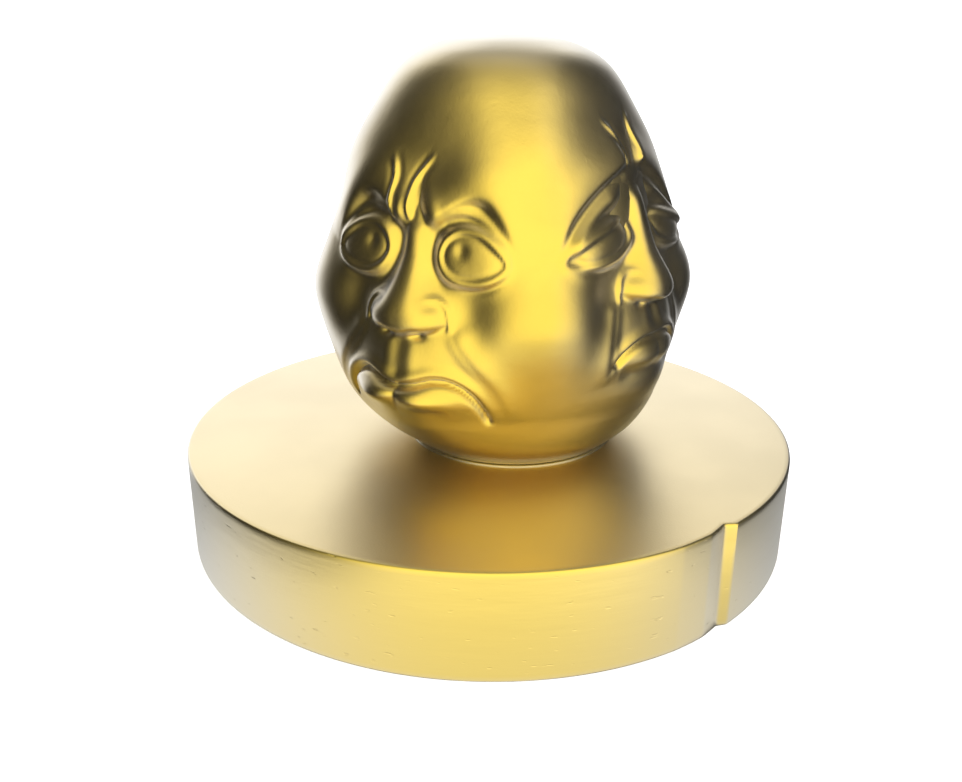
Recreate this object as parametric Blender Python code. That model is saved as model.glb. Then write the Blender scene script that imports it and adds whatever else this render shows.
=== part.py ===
"""Four-mood doll's head that turns on a round metal stand.

The stand is a turned disc with a felt pad underneath. The head is a hollow casting closed by a
neck plate. One shoulder screw holds the head down from below: it runs in a flanged bush, over a
flat washer and a wave washer, and screws into the neck plate, so head, plate and screws turn
together. +Z is up and the origin is the middle of the stand's underside. The faces look along
-Y (sorrow), -X (anger), +Y (calm) and +X (joy).
"""

import math

import bmesh
import bpy
import numpy as np

MM = 0.001

# Stand
BASE_RADIUS = 60.0 * MM
BASE_TOP = 20.0 * MM
BASE_BOTTOM = 0.5 * MM
FELT_THICKNESS = 1.2 * MM
FELT_RADIUS = 56.0 * MM
GAP = 0.3 * MM
RUNNING_CLEARANCE = 0.1 * MM
RIM_BREAK = 0.3 * MM

# Index notch in the stand's rim: a slow ramp that ends in a steep wall
NOTCH_START = math.radians(-23.0)
NOTCH_END = math.radians(-12.6)
NOTCH_WALL = math.radians(1.7)
NOTCH_STEEP = math.radians(4.2)
NOTCH_DEPTH = 1.3 * MM

# Pivot: the head's axis stands a little in front of the stand's own axis
PIVOT = np.array((0.7 * MM, -5.2 * MM))
SHOULDER_RADIUS = 5.0 * MM
THREAD_RADIUS = 3.4 * MM
BUSH_RADIUS = 8.7 * MM
BUSH_FLANGE_RADIUS = 11.5 * MM
COUNTERBORE_RADIUS = 14.0 * MM
WEB_BOTTOM = 11.0 * MM
FLANGE_THICKNESS = 1.0 * MM
WASHER_THICKNESS = 1.0 * MM
WAVE_HEIGHT = 0.3 * MM
WAVE_THICKNESS = 0.4 * MM
WAVES = 3
SCREW_HEAD_RADIUS = 8.0 * MM
SCREW_HEAD_HEIGHT = 4.0 * MM

# Seat ring between stand and head
SEAT_INNER = 15.0 * MM
SEAT_OUTER = 20.2 * MM
SEAT_PROUD = 0.35 * MM
SEAT_THICKNESS = 0.65 * MM

# Head casting
NECK_RADIUS = 20.0 * MM
HEAD_HEIGHT = 75.0 * MM
WALL = 5.5 * MM
LEDGE_THICKNESS = 4.0 * MM
LEDGE_HOLE = 9.0 * MM
# The casting's body stands this far off the pivot; its neck is centred on it
LEAN = np.array((1.27 * MM, 3.5 * MM))
LEAN_RISE = 12.0 * MM
PLATE_RADIUS = 17.5 * MM
PLATE_THICKNESS = 3.5 * MM
NECK_SCREWS = 4
NECK_SCREW_CIRCLE = 13.0 * MM
NECK_SCREW_RADIUS = 1.45 * MM
NECK_SCREW_HEAD = 2.9 * MM

ROUND_STEPS = 36
DISC_STEPS = 96
HEAD_COLUMNS_PER_FACE = 24
HEAD_ROWS = 34

HEAD_FOOT = BASE_TOP + SEAT_PROUD + GAP
PLATE_TOP = HEAD_FOOT + PLATE_THICKNESS
LEDGE_BOTTOM = PLATE_TOP + GAP
LEDGE_TOP = LEDGE_BOTTOM + LEDGE_THICKNESS
FLANGE_BOTTOM = WEB_BOTTOM - GAP - FLANGE_THICKNESS
WASHER_BOTTOM = FLANGE_BOTTOM - GAP - WASHER_THICKNESS
WAVE_MIDDLE = WASHER_BOTTOM - GAP - WAVE_HEIGHT - WAVE_THICKNESS / 2
SCREW_HEAD_TOP = WAVE_MIDDLE - WAVE_HEIGHT - WAVE_THICKNESS / 2 - GAP

# Outline of the head in millimetres, foot to crown: radius, height above the neck's foot
HEAD_OUTLINE = (
    (20.0, 0.0),
    (26.6, 5.0),
    (30.8, 10.5),
    (33.6, 18.0),
    (35.2, 27.0),
    (34.0, 36.0),
    (31.2, 46.0),
    (28.2, 56.0),
    (22.9, 64.5),
    (17.5, 70.6),
    (10.6, 73.6),
    (3.0, 74.5),
)

# Between the faces the head keeps this plain outline; the middle of each face is flatter by
# the second number at the height above the foot given first (millimetres)
FACE_FLATS = (
    (0.0, 0.0),
    (10.0, 0.0),
    (15.0, 0.7),
    (20.0, 2.0),
    (30.0, 4.0),
    (40.0, 4.8),
    (50.0, 4.0),
    (57.0, 2.6),
    (65.0, 1.0),
    (72.0, 0.0),
)

# One row per face, in millimetres across from its middle and above the disc: azimuth, eye
# (height, half opening), three brow points, nose (bridge, tip, underside), mouth line
# (middle height, corner across, corner height) and how far the muzzle stands out
FACES = {
    "sorrow": (0.0, (42.0, 2.6), ((2.0, 55.6), (9.0, 51.0), (21.0, 43.6)), (49.4, 36.2, 32.9),
               (26.2, 10.6, 21.4), 2.4),
    "anger": (-90.0, (40.7, 4.0), ((3.0, 45.2), (13.0, 49.8), (20.6, 44.6)), (44.3, 30.6, 27.9),
              (18.7, 15.6, 17.0), 2.4),
    "calm": (180.0, (41.9, 2.4), ((3.6, 47.8), (12.0, 51.2), (20.8, 47.0)), (47.6, 33.4, 30.3),
             (22.6, 10.8, 24.0), 2.2),
    "joy": (90.0, (42.0, 2.6), ((3.6, 48.2), (12.0, 53.0), (21.2, 48.2)), (46.8, 31.8, 28.9),
            (19.4, 15.0, 26.0), 2.6),
}


def material(name, colour, metallic, roughness):
    """A Principled BSDF with one colour."""
    made = bpy.data.materials.new(name)
    made.use_nodes = True
    shader = made.node_tree.nodes["Principled BSDF"]
    shader.inputs["Base Color"].default_value = (*colour, 1.0)
    shader.inputs["Metallic"].default_value = metallic
    shader.inputs["Roughness"].default_value = roughness
    return made


def clear_scene():
    """Start from an empty scene."""
    for item in list(bpy.data.objects):
        bpy.data.objects.remove(item, do_unlink=True)


def circle(steps):
    """Azimuths of a ring's points: 0 looks along -Y and they run anticlockwise from above."""
    return np.arange(steps) * (2 * math.pi / steps)


def ring(radius, height, azimuths, centre=(0.0, 0.0)):
    """Points of a ring. Radius and height are numbers, or one value for each azimuth."""
    x = centre[0] + radius * np.sin(azimuths)
    y = centre[1] - radius * np.cos(azimuths)
    return np.stack([x, y, np.broadcast_to(height, x.shape)], axis=1)


def hexagon(across_flats, azimuths):
    """Radius of a hexagon at each azimuth."""
    sixth = math.pi / 3
    turned = np.mod(azimuths + sixth / 2, sixth) - sixth / 2
    return across_flats / 2 / np.cos(turned)


def loft(name, rings, finish, origin=(0.0, 0.0, 0.0), closed=False):
    """Skin a stack of rings with quads: closed joins last to first, otherwise both ends are capped."""
    origin = np.array(origin)
    bm = bmesh.new()
    loops = [[bm.verts.new(point - origin) for point in points] for points in rings]
    pairs = list(zip(loops, loops[1:]))
    if closed:
        pairs.append((loops[-1], loops[0]))
    for lower, upper in pairs:
        for i in range(len(lower)):
            j = (i + 1) % len(lower)
            bm.faces.new((lower[i], lower[j], upper[j], upper[i]))
    if not closed:
        bm.faces.new(loops[0][::-1])
        bm.faces.new(loops[-1])
    bmesh.ops.recalc_face_normals(bm, faces=bm.faces)
    mesh = bpy.data.meshes.new(name)
    bm.to_mesh(mesh)
    bm.free()
    mesh.shade_smooth()
    mesh.set_sharp_from_angle(angle=math.radians(35))
    mesh.materials.append(finish)
    made = bpy.data.objects.new(name, mesh)
    made.location = origin
    bpy.context.collection.objects.link(made)
    return made


def turned(name, profile, finish, centre=(0.0, 0.0), steps=ROUND_STEPS, closed=False, origin=None):
    """A turned piece: each profile point (radius, height) becomes a ring about the centre."""
    azimuths = circle(steps)
    rings = [ring(radius, height, azimuths, centre) for radius, height in profile]
    return loft(name, rings, finish, origin or (*centre, 0.0), closed)


def cut(target, cutter):
    """Subtract a cutter, which stays in the file as a hidden wire guide."""
    cutter.hide_render = True
    cutter.display_type = "WIRE"
    boolean = target.modifiers.new(cutter.name, "BOOLEAN")
    boolean.operation = "DIFFERENCE"
    boolean.solver = "EXACT"
    boolean.object = cutter


def make_felt_pad(finish):
    """The pad the stand rests on, glued into a shallow recess."""
    profile = ((FELT_RADIUS, 0.0), (FELT_RADIUS, FELT_THICKNESS))
    return turned("felt_pad", profile, finish, steps=DISC_STEPS)


def notched_radius(azimuths, radius, depth):
    """Rim radius: a slow ramp in, a steeper last part, then out again over NOTCH_WALL."""
    along = np.clip((azimuths - NOTCH_START) / (NOTCH_END - NOTCH_START), 0.0, 1.0)
    last = np.clip(1.0 - (NOTCH_END - azimuths) / NOTCH_STEEP, 0.0, 1.0)
    back = np.clip((azimuths - NOTCH_END) / NOTCH_WALL, 0.0, 1.0)
    return radius - depth * (0.45 * along + 0.55 * last) * (1.0 - back)


def make_base_disc(finish):
    """Turned disc: ring pocket on top, stepped bore on the pivot, felt recess below."""
    azimuths = circle(DISC_STEPS)
    signed = np.mod(azimuths + math.pi, 2 * math.pi) - math.pi
    for corner in (NOTCH_START, NOTCH_END - NOTCH_STEEP, NOTCH_END, NOTCH_END + NOTCH_WALL):
        nearest = np.argmin(np.abs(signed - corner))
        azimuths[nearest] += corner - signed[nearest]
        signed[nearest] = corner
    recess = FELT_RADIUS + GAP
    recess_roof = FELT_THICKNESS + GAP
    pocket_floor = BASE_TOP + SEAT_PROUD - SEAT_THICKNESS - GAP
    lower_depth = 0.7 * NOTCH_DEPTH

    def outer(radius, height, depth):
        return ring(notched_radius(signed, radius, depth), height, azimuths)

    def bored(radius, height):
        return ring(radius, height, azimuths, PIVOT)

    rings = [
        outer(BASE_RADIUS - RIM_BREAK, BASE_BOTTOM, lower_depth),
        outer(BASE_RADIUS, BASE_BOTTOM + RIM_BREAK, lower_depth),
        outer(BASE_RADIUS, BASE_TOP - RIM_BREAK, NOTCH_DEPTH),
        outer(BASE_RADIUS - RIM_BREAK, BASE_TOP, NOTCH_DEPTH),
        bored(SEAT_OUTER + GAP, BASE_TOP),
        bored(SEAT_OUTER + GAP, pocket_floor),
        bored(BUSH_RADIUS + GAP, pocket_floor),
        bored(BUSH_RADIUS + GAP, WEB_BOTTOM),
        bored(COUNTERBORE_RADIUS, WEB_BOTTOM),
        bored(COUNTERBORE_RADIUS, recess_roof),
        ring(recess, recess_roof, azimuths),
        ring(recess, BASE_BOTTOM, azimuths),
    ]
    return loft("base_disc", rings, finish, closed=True)


def make_seat_ring(finish):
    """Thrust ring the head turns on; its edge shows as a bright line at the neck."""
    top = BASE_TOP + SEAT_PROUD
    bottom = top - SEAT_THICKNESS
    profile = ((SEAT_INNER, bottom), (SEAT_OUTER, bottom), (SEAT_OUTER, top), (SEAT_INNER, top))
    return turned("seat_ring", profile, finish, PIVOT, 72, closed=True)


def make_pivot_bush(finish):
    """Flanged bush pressed up into the stand's bore from below."""
    bore = SHOULDER_RADIUS + RUNNING_CLEARANCE
    flange_top = FLANGE_BOTTOM + FLANGE_THICKNESS
    top = BASE_TOP + SEAT_PROUD - SEAT_THICKNESS - GAP
    profile = (
        (bore, FLANGE_BOTTOM),
        (BUSH_FLANGE_RADIUS, FLANGE_BOTTOM),
        (BUSH_FLANGE_RADIUS, flange_top),
        (BUSH_RADIUS, flange_top),
        (BUSH_RADIUS, top),
        (bore, top),
    )
    return turned("pivot_bush", profile, finish, PIVOT, closed=True)


def make_flat_washer(finish):
    """Hard washer between the bush's flange and the wave washer."""
    bore = SHOULDER_RADIUS + GAP
    top = WASHER_BOTTOM + WASHER_THICKNESS
    profile = ((bore, WASHER_BOTTOM), (11.5 * MM, WASHER_BOTTOM), (11.5 * MM, top), (bore, top))
    return turned("flat_washer", profile, finish, PIVOT, closed=True)


def make_wave_washer(finish):
    """Spring washer whose height waves three times round, for a light drag on the head."""
    azimuths = circle(ROUND_STEPS)
    wave = WAVE_MIDDLE + WAVE_HEIGHT * np.sin(WAVES * azimuths)
    inner = 6.0 * MM
    outer = 9.5 * MM
    half = WAVE_THICKNESS / 2
    corners = ((inner, -half), (outer, -half), (outer, half), (inner, half))
    rings = [ring(radius, wave + side, azimuths, PIVOT) for radius, side in corners]
    return loft("wave_washer", rings, finish, (*PIVOT, 0.0), closed=True)


def make_swivel_screw(finish):
    """Shoulder screw driven up from below by a hexagon socket."""
    azimuths = circle(ROUND_STEPS)
    head_bottom = SCREW_HEAD_TOP - SCREW_HEAD_HEIGHT
    socket = hexagon(5.0 * MM, azimuths)
    tip = LEDGE_TOP - 1.0 * MM
    shape = (
        (socket, head_bottom + 2.5 * MM),
        (socket, head_bottom),
        (SCREW_HEAD_RADIUS - 0.5 * MM, head_bottom),
        (SCREW_HEAD_RADIUS, head_bottom + 0.5 * MM),
        (SCREW_HEAD_RADIUS, SCREW_HEAD_TOP),
        (SHOULDER_RADIUS, SCREW_HEAD_TOP),
        (SHOULDER_RADIUS, HEAD_FOOT - GAP),
        (THREAD_RADIUS, HEAD_FOOT - GAP),
        (THREAD_RADIUS, tip - 0.8 * MM),
        (THREAD_RADIUS - 0.8 * MM, tip),
    )
    rings = [ring(radius, height, azimuths, PIVOT) for radius, height in shape]
    return loft("swivel_screw", rings, finish, (*PIVOT, 0.0))


def screw_places():
    """Centres of the four neck screws, between the faces."""
    quarter = 2 * math.pi / NECK_SCREWS
    for i in range(NECK_SCREWS):
        azimuth = (i + 0.5) * quarter
        yield PIVOT + NECK_SCREW_CIRCLE * np.array((math.sin(azimuth), -math.cos(azimuth)))


def make_neck_screws(finish):
    """Countersunk screws that hold the neck plate up against the ledge."""
    azimuths = circle(24)
    foot = HEAD_FOOT + 0.15 * MM
    socket = hexagon(2.0 * MM, azimuths)
    shape = (
        (socket, foot + 1.2 * MM),
        (socket, foot),
        (NECK_SCREW_HEAD, foot),
        (NECK_SCREW_HEAD, foot + 0.3 * MM),
        (NECK_SCREW_RADIUS, foot + 1.75 * MM),
        (NECK_SCREW_RADIUS, LEDGE_TOP - 0.9 * MM),
        (NECK_SCREW_RADIUS - 0.6 * MM, LEDGE_TOP - 0.3 * MM),
    )
    for number, place in enumerate(screw_places(), start=1):
        rings = [ring(radius, height, azimuths, place) for radius, height in shape]
        loft(f"neck_screw_{number}", rings, finish, (*place, 0.0))


def hole_cutter(name, place, profile, finish):
    """A guide in the shape of one screw hole."""
    return turned(name, profile, finish, tuple(place), steps=24)


def make_neck_plate(finish):
    """Steel plate that closes the neck and carries the thread for the swivel screw."""
    bore = THREAD_RADIUS + GAP
    edge = PLATE_RADIUS
    profile = ((bore, HEAD_FOOT), (edge, HEAD_FOOT), (edge, PLATE_TOP), (bore, PLATE_TOP))
    plate = turned("neck_plate", profile, finish, PIVOT, 72, closed=True)
    foot = HEAD_FOOT + 0.15 * MM
    sink = NECK_SCREW_HEAD + GAP
    clear = NECK_SCREW_RADIUS + GAP
    hole = (
        (sink, HEAD_FOOT - GAP),
        (sink, foot + 0.4 * MM),
        (clear, foot + 1.85 * MM),
        (clear, PLATE_TOP + GAP),
    )
    for number, place in enumerate(screw_places(), start=1):
        cut(plate, hole_cutter(f"plate_hole_{number}", place, hole, finish))
    return plate


def spline(points, amounts):
    """Catmull-Rom curve through the points, read at amounts between 0 and 1."""
    points = np.array(points)
    before = 2 * points[0] - points[1]
    after = 2 * points[-1] - points[-2]
    padded = np.vstack([before, points, after])
    place = np.clip(amounts, 0.0, 1.0) * (len(points) - 1)
    index = np.minimum(place.astype(int), len(points) - 2)
    t = (place - index)[:, None]
    p0, p1, p2, p3 = (padded[index + k] for k in range(4))
    return 0.5 * (
        2 * p1
        + (p2 - p0) * t
        + (2 * p0 - 5 * p1 + 4 * p2 - p3) * t**2
        + (3 * p1 - p0 - 3 * p2 + p3) * t**3
    )


def bump(x, z, middle_x, middle_z, reach_x, reach_z, height):
    """A soft oval mound, or a hollow where height is negative."""
    return height * np.exp(-(((x - middle_x) / reach_x) ** 2) - ((z - middle_z) / reach_z) ** 2)


def ridge(x, z, start, end, width, height):
    """A rounded ridge along the straight line from start to end."""
    start = np.array(start)
    run = np.array(end) - start
    along = ((x - start[0]) * run[0] + (z - start[1]) * run[1]) / (run @ run)
    along = np.clip(along, 0.0, 1.0)
    away = np.hypot(x - start[0] - along * run[0], z - start[1] - along * run[1])
    return height * np.exp(-((away / width) ** 2))


def relief(x, z, eye, brow, nose, mouth, muzzle):
    """Height of one face over the flattened head: x across and z up, all in millimetres."""
    side = np.abs(x)
    eye_height, opening = eye
    bridge, tip, underside = nose
    mouth_height, corner_across, corner_height = mouth
    height = bump(side, z, 12.4, eye_height + 0.5, 8.0, 6.4, -1.3)
    height += bump(side, z, 12.4, eye_height, 5.4, 1.4 + opening, 3.0)
    height += ridge(side, z, brow[0], brow[1], 2.2, 1.9)
    height += ridge(side, z, brow[1], brow[2], 2.4, 1.7)
    down = np.clip((bridge - z) / (bridge - tip), 0.0, 1.2)
    under = 1.0 / (1.0 + np.exp((underside - z) / 0.5))
    wedge = np.exp(-((side / (2.9 + 1.5 * down)) ** 2))
    height += under * wedge * (1.2 + 4.2 * down) / (1.0 + np.exp((z - bridge - 1.0) / 0.6))
    height += under * bump(side, z, 6.9, tip, 3.0, 3.0, 2.8)
    height += bump(side, z, 0.0, mouth_height + 1.4, 12.0, 8.0, muzzle)
    corner = (corner_across, corner_height)
    height += ridge(side, z, (0.0, mouth_height + 1.6), corner, 1.5, 0.9)
    height += ridge(side, z, (0.0, mouth_height - 2.4), corner, 1.7, 1.0)
    height += bump(side, z, 0.0, mouth_height - 8.2, 8.5, 4.5, 1.6)
    height += bump(side, z, 18.0, 29.0, 8.0, 7.5, 0.8)
    return height


def face_columns():
    """Azimuth offsets of one face's columns, closer together over the features."""
    step = np.arange(HEAD_COLUMNS_PER_FACE) / HEAD_COLUMNS_PER_FACE * 2.0 - 1.0
    return math.pi / 4 * (0.78 * step + 0.22 * step**3)


def outline_at(heights):
    """Radius of the plain head, in millimetres, at heights above its foot."""
    curve = spline(HEAD_OUTLINE, np.linspace(0.0, 1.0, 200))
    return np.interp(heights, curve[:, 1], curve[:, 0])


def flats_at(heights, offsets):
    """How much flatter than the outline the head is, at heights and offsets from a face's middle."""
    deepest = np.interp(heights, [row[0] for row in FACE_FLATS], [row[1] for row in FACE_FLATS])
    return np.multiply.outer(deepest, np.cos(2.0 * offsets) ** 2)


def centre_at(height):
    """Centre of the casting's ring at a height in metres above its foot."""
    share = np.clip(height / LEAN_RISE, 0.0, 1.0)
    return PIVOT + LEAN * share * share * (3.0 - 2.0 * share)


def make_head_shell(finish):
    """Hollow casting: a relief of four faces outside, a plain hollow and ledge inside."""
    curve = spline(HEAD_OUTLINE, np.linspace(0.0, 1.0, HEAD_ROWS))
    offsets = face_columns()
    faces = sorted(FACES.values(), key=lambda face: face[0])
    azimuths = np.concatenate([math.radians(face[0]) + offsets for face in faces])
    fade = np.clip(curve[:, 1] / 8.0, 0.0, 1.0) * np.clip((68.0 - curve[:, 1]) / 6.0, 0.0, 1.0)
    across, up = np.meshgrid(offsets * 33.0, curve[:, 1] + (HEAD_FOOT - BASE_TOP) / MM)
    plain = curve[:, :1] - flats_at(curve[:, 1], offsets)
    radii = [plain + relief(across, up, *face[1:]) * fade[:, None] for face in faces]
    radii = np.concatenate(radii, axis=1) * MM
    outside = []
    for radius, height in zip(radii, curve[:, 1] * MM):
        outside.append(ring(radius, HEAD_FOOT + height, azimuths, centre_at(height)))

    socket = PLATE_RADIUS + GAP
    neck = [(socket, HEAD_FOOT), (socket, LEDGE_BOTTOM)]
    neck += [(LEDGE_HOLE, LEDGE_BOTTOM), (LEDGE_HOLE, LEDGE_TOP)]
    walls = [ring(radius, height, azimuths, PIVOT) for radius, height in neck]
    around = np.tile(offsets, len(faces))
    hollow = np.linspace((LEDGE_TOP - HEAD_FOOT) / MM, HEAD_HEIGHT / MM - 7.0, 7)
    for height in hollow:
        radius = (outline_at(height) - flats_at(height, around)) * MM - WALL
        walls.append(ring(radius, HEAD_FOOT + height * MM, azimuths, centre_at(height * MM)))
    roof = HEAD_FOOT + hollow[-1] * MM + 2.0 * MM
    walls.append(ring(radius - 9.0 * MM, roof, azimuths, centre_at(HEAD_HEIGHT)))
    shell = loft("head_shell", outside[::-1] + walls, finish, (*PIVOT, 0.0))
    clear = NECK_SCREW_RADIUS + GAP
    hole = ((clear, LEDGE_BOTTOM - 1.0 * MM), (clear, LEDGE_TOP + 1.0 * MM))
    for number, place in enumerate(screw_places(), start=1):
        cut(shell, hole_cutter(f"ledge_hole_{number}", place, hole, finish))
    return shell


def main():
    """Build every piece."""
    clear_scene()
    gold = material("gold_polish", (0.93, 0.68, 0.22), 1.0, 0.25)
    gold_satin = material("gold_satin", (0.88, 0.70, 0.32), 1.0, 0.38)
    brass = material("bright_brass", (0.95, 0.80, 0.42), 1.0, 0.2)
    bronze = material("bush_bronze", (0.55, 0.36, 0.18), 1.0, 0.4)
    steel = material("zinc_steel", (0.62, 0.63, 0.65), 1.0, 0.35)
    felt = material("green_felt", (0.03, 0.09, 0.05), 0.0, 0.95)

    make_felt_pad(felt)
    make_base_disc(gold_satin)
    make_seat_ring(brass)
    make_pivot_bush(bronze)
    make_flat_washer(steel)
    make_wave_washer(steel)
    make_swivel_screw(steel)
    make_neck_plate(steel)
    make_neck_screws(steel)
    make_head_shell(gold)


if __name__ == "__main__":
    main()
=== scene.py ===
"""Looks of a four-mood doll's head that turns on a round metal stand.

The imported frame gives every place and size. The head's faces are a relief: a height in
millimetres over a plain egg-shaped head, worked out on a grid of azimuth and height.
"""

import math

import bpy
import numpy as np
from mathutils import Matrix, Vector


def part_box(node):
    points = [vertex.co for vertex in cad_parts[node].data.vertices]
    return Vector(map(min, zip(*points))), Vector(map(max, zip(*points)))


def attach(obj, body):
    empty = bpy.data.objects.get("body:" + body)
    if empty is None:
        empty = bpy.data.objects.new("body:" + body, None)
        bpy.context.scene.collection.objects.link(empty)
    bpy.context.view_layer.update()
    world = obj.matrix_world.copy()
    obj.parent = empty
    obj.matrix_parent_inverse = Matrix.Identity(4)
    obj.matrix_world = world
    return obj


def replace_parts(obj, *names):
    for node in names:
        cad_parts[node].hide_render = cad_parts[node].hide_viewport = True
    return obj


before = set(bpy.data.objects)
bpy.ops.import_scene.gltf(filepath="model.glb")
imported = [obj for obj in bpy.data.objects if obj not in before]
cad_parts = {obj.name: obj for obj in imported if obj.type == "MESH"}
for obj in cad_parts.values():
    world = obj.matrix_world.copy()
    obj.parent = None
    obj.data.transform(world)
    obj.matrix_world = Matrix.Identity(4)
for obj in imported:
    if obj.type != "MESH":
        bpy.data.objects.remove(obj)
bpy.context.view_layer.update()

bl_info = {
    "name": "Four-Mood Doll's Head",
    "version": (1, 0, 0),
    "blender": (4, 5, 0),
    "location": "3D View > Sidebar > Doll's Head",
    "description": "Finishes a gold doll's head with four moods on a turned stand",
    "category": "Add Mesh",
}

MM = 0.001
TURN = 2 * math.pi

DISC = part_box("base_disc")
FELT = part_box("felt_pad")
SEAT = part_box("seat_ring")
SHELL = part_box("head_shell")
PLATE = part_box("neck_plate")
PIVOT = np.array([(SEAT[0][0] + SEAT[1][0]) / 2, (SEAT[0][1] + SEAT[1][1]) / 2]) / MM
FOOT = SHELL[0][2] / MM
DISC_TOP = DISC[1][2] / MM
GAP = 0.3


# ---------------------------------------------------------------------------
# Settings
# ---------------------------------------------------------------------------


class HeadSettings(bpy.types.PropertyGroup):
    """Sizes of the head's surface."""

    columns: bpy.props.IntProperty(
        name="Columns", description="Grid columns round the head", default=480, min=96
    )
    rows: bpy.props.IntProperty(
        name="Rows", description="Grid rows from foot to crown", default=190, min=40
    )
    relief: bpy.props.FloatProperty(
        name="Relief", description="Scale of all facial relief", default=1.0, min=0.0, max=1.5
    )
    gold: bpy.props.FloatVectorProperty(
        name="Gold",
        description="Colour of the head's polished gold",
        default=(0.70, 0.497, 0.07),
        subtype="COLOR",
    )


class StandSettings(bpy.types.PropertyGroup):
    """Sizes and colours of the stand."""

    columns: bpy.props.IntProperty(
        name="Columns", description="Grid columns round the disc", default=960, min=96
    )
    top_colour: bpy.props.FloatVectorProperty(
        name="Top", description="Satin colour of the top", default=(0.70, 0.504, 0.084), subtype="COLOR"
    )
    side_colour: bpy.props.FloatVectorProperty(
        name="Side", description="Turned colour of the side", default=(0.68, 0.497, 0.077), subtype="COLOR"
    )


# ---------------------------------------------------------------------------
# Mesh helpers
# ---------------------------------------------------------------------------


def link(name, mesh, body, finish):
    """Put a finished mesh in the scene, riding on its body."""
    made = bpy.data.objects.new(name, mesh)
    bpy.context.scene.collection.objects.link(made)
    mesh.materials.append(finish)
    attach(made, body)
    return made


def skin_rings(name, rings, closed, sharp=None):
    """Quads between rings of points, given as an array of rings by columns by 3 in metres.

    Ring k's point i joins ring k + 1's point i. A closed skin joins its last ring to its first;
    an open one ends in a fan of triangles about the middle of each end ring.
    """
    count, columns, _ = rings.shape
    points = rings.reshape(-1, 3)
    last = count if closed else count - 1
    row = np.arange(last)[:, None] * columns
    after = (np.arange(last)[:, None] + 1) % count * columns
    here = np.arange(columns)[None, :]
    beside = (here + 1) % columns
    quads = np.stack([row + here, row + beside, after + beside, after + here], axis=-1)
    faces = [quads.reshape(-1, 4)]
    corners = faces[0].ravel()
    sizes = np.full(len(faces[0]), 4)
    if not closed:
        middles = np.stack([rings[0].mean(axis=0), rings[-1].mean(axis=0)])
        first = len(points)
        points = np.vstack([points, middles])
        around = np.arange(columns)
        onward = (around + 1) % columns
        low = np.stack([onward, around, np.full(columns, first)], axis=-1)
        top = (count - 1) * columns
        high = np.stack([top + around, top + onward, np.full(columns, first + 1)], axis=-1)
        corners = np.concatenate([corners, low.ravel(), high.ravel()])
        sizes = np.concatenate([sizes, np.full(2 * columns, 3)])
    mesh = bpy.data.meshes.new(name)
    mesh.vertices.add(len(points))
    mesh.vertices.foreach_set("co", points.astype(np.float32).ravel())
    mesh.loops.add(len(corners))
    mesh.loops.foreach_set("vertex_index", corners.astype(np.int32))
    mesh.polygons.add(len(sizes))
    starts = np.concatenate([[0], np.cumsum(sizes)[:-1]])
    mesh.polygons.foreach_set("loop_start", starts.astype(np.int32))
    mesh.update(calc_edges=True)
    mesh.validate()
    mesh.shade_smooth()
    if sharp is not None:
        mesh.set_sharp_from_angle(angle=math.radians(sharp))
    return mesh


def ring_points(radius, height, azimuths, centre):
    """Points at an azimuth from -Y, a radius and a height, all in millimetres, as metres."""
    x = centre[0] + radius * np.sin(azimuths)
    y = centre[1] - radius * np.cos(azimuths)
    z = np.broadcast_to(height, x.shape)
    return np.stack([x, y, z], axis=-1) * MM


def turned_mesh(name, profile, columns, centre, closed=True, sharp=30):
    """Lathe mesh: profile points (radius, height) swept round the centre, in millimetres."""
    azimuths = np.arange(columns) * TURN / columns
    profile = np.array(profile, dtype=float)
    rings = ring_points(profile[:, :1], profile[:, 1:], azimuths[None, :], centre)
    return skin_rings(name, rings, closed, sharp)


def smooth_line(points, per_span=8, loop=False):
    """Catmull-Rom curve through the points: each span blends its four nearest points."""
    points = np.array(points, dtype=float)
    if loop:
        padded = np.vstack([points[-1:], points, points[:2]])
    else:
        before = 2 * points[0] - points[1]
        after = 2 * points[-1] - points[-2]
        padded = np.vstack([before, points, after])
    spans = len(padded) - 3
    t = np.tile(np.arange(per_span) / per_span, spans)[:, None]
    index = np.repeat(np.arange(spans), per_span)
    p0, p1, p2, p3 = (padded[index + k] for k in range(4))
    curve = 0.5 * (
        2 * p1
        + (p2 - p0) * t
        + (2 * p0 - 5 * p1 + 4 * p2 - p3) * t**2
        + (3 * p1 - p0 - 3 * p2 + p3) * t**3
    )
    return curve if loop else np.vstack([curve, points[-1:]])


def nearest_on_line(x, z, points, loop=False):
    """Distance to a smooth line, its sign (positive on the line's left) and place along it 0..1."""
    line = smooth_line(points, loop=loop)
    if loop:
        line = np.vstack([line, line[:1]])
    start = line[:-1]
    run = line[1:] - start
    dx = x[..., None] - start[:, 0]
    dz = z[..., None] - start[:, 1]
    t = np.clip((dx * run[:, 0] + dz * run[:, 1]) / (run**2).sum(axis=1), 0.0, 1.0)
    off_x = dx - t * run[:, 0]
    off_z = dz - t * run[:, 1]
    away = np.hypot(off_x, off_z)
    best = away.argmin(axis=-1)
    pick = (*np.indices(x.shape), best)
    across = run[best, 0] * off_z[pick] - run[best, 1] * off_x[pick]
    along = (best + t[pick]) / len(start)
    return away[pick], np.sign(across), along


# ---------------------------------------------------------------------------
# The head's form
# ---------------------------------------------------------------------------

# Plain head, foot to crown: radius and height above the foot, in millimetres
OUTLINE = (
    (20.0, 0.0),
    (26.4, 4.6),
    (30.6, 9.6),
    (33.2, 16.5),
    (35.0, 25.0),
    (35.1, 31.0),
    (33.0, 38.8),
    (30.6, 46.5),
    (28.4, 54.6),
    (24.3, 62.0),
    (19.0, 69.3),
    (12.5, 73.0),
    (5.0, 74.35),
)
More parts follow.
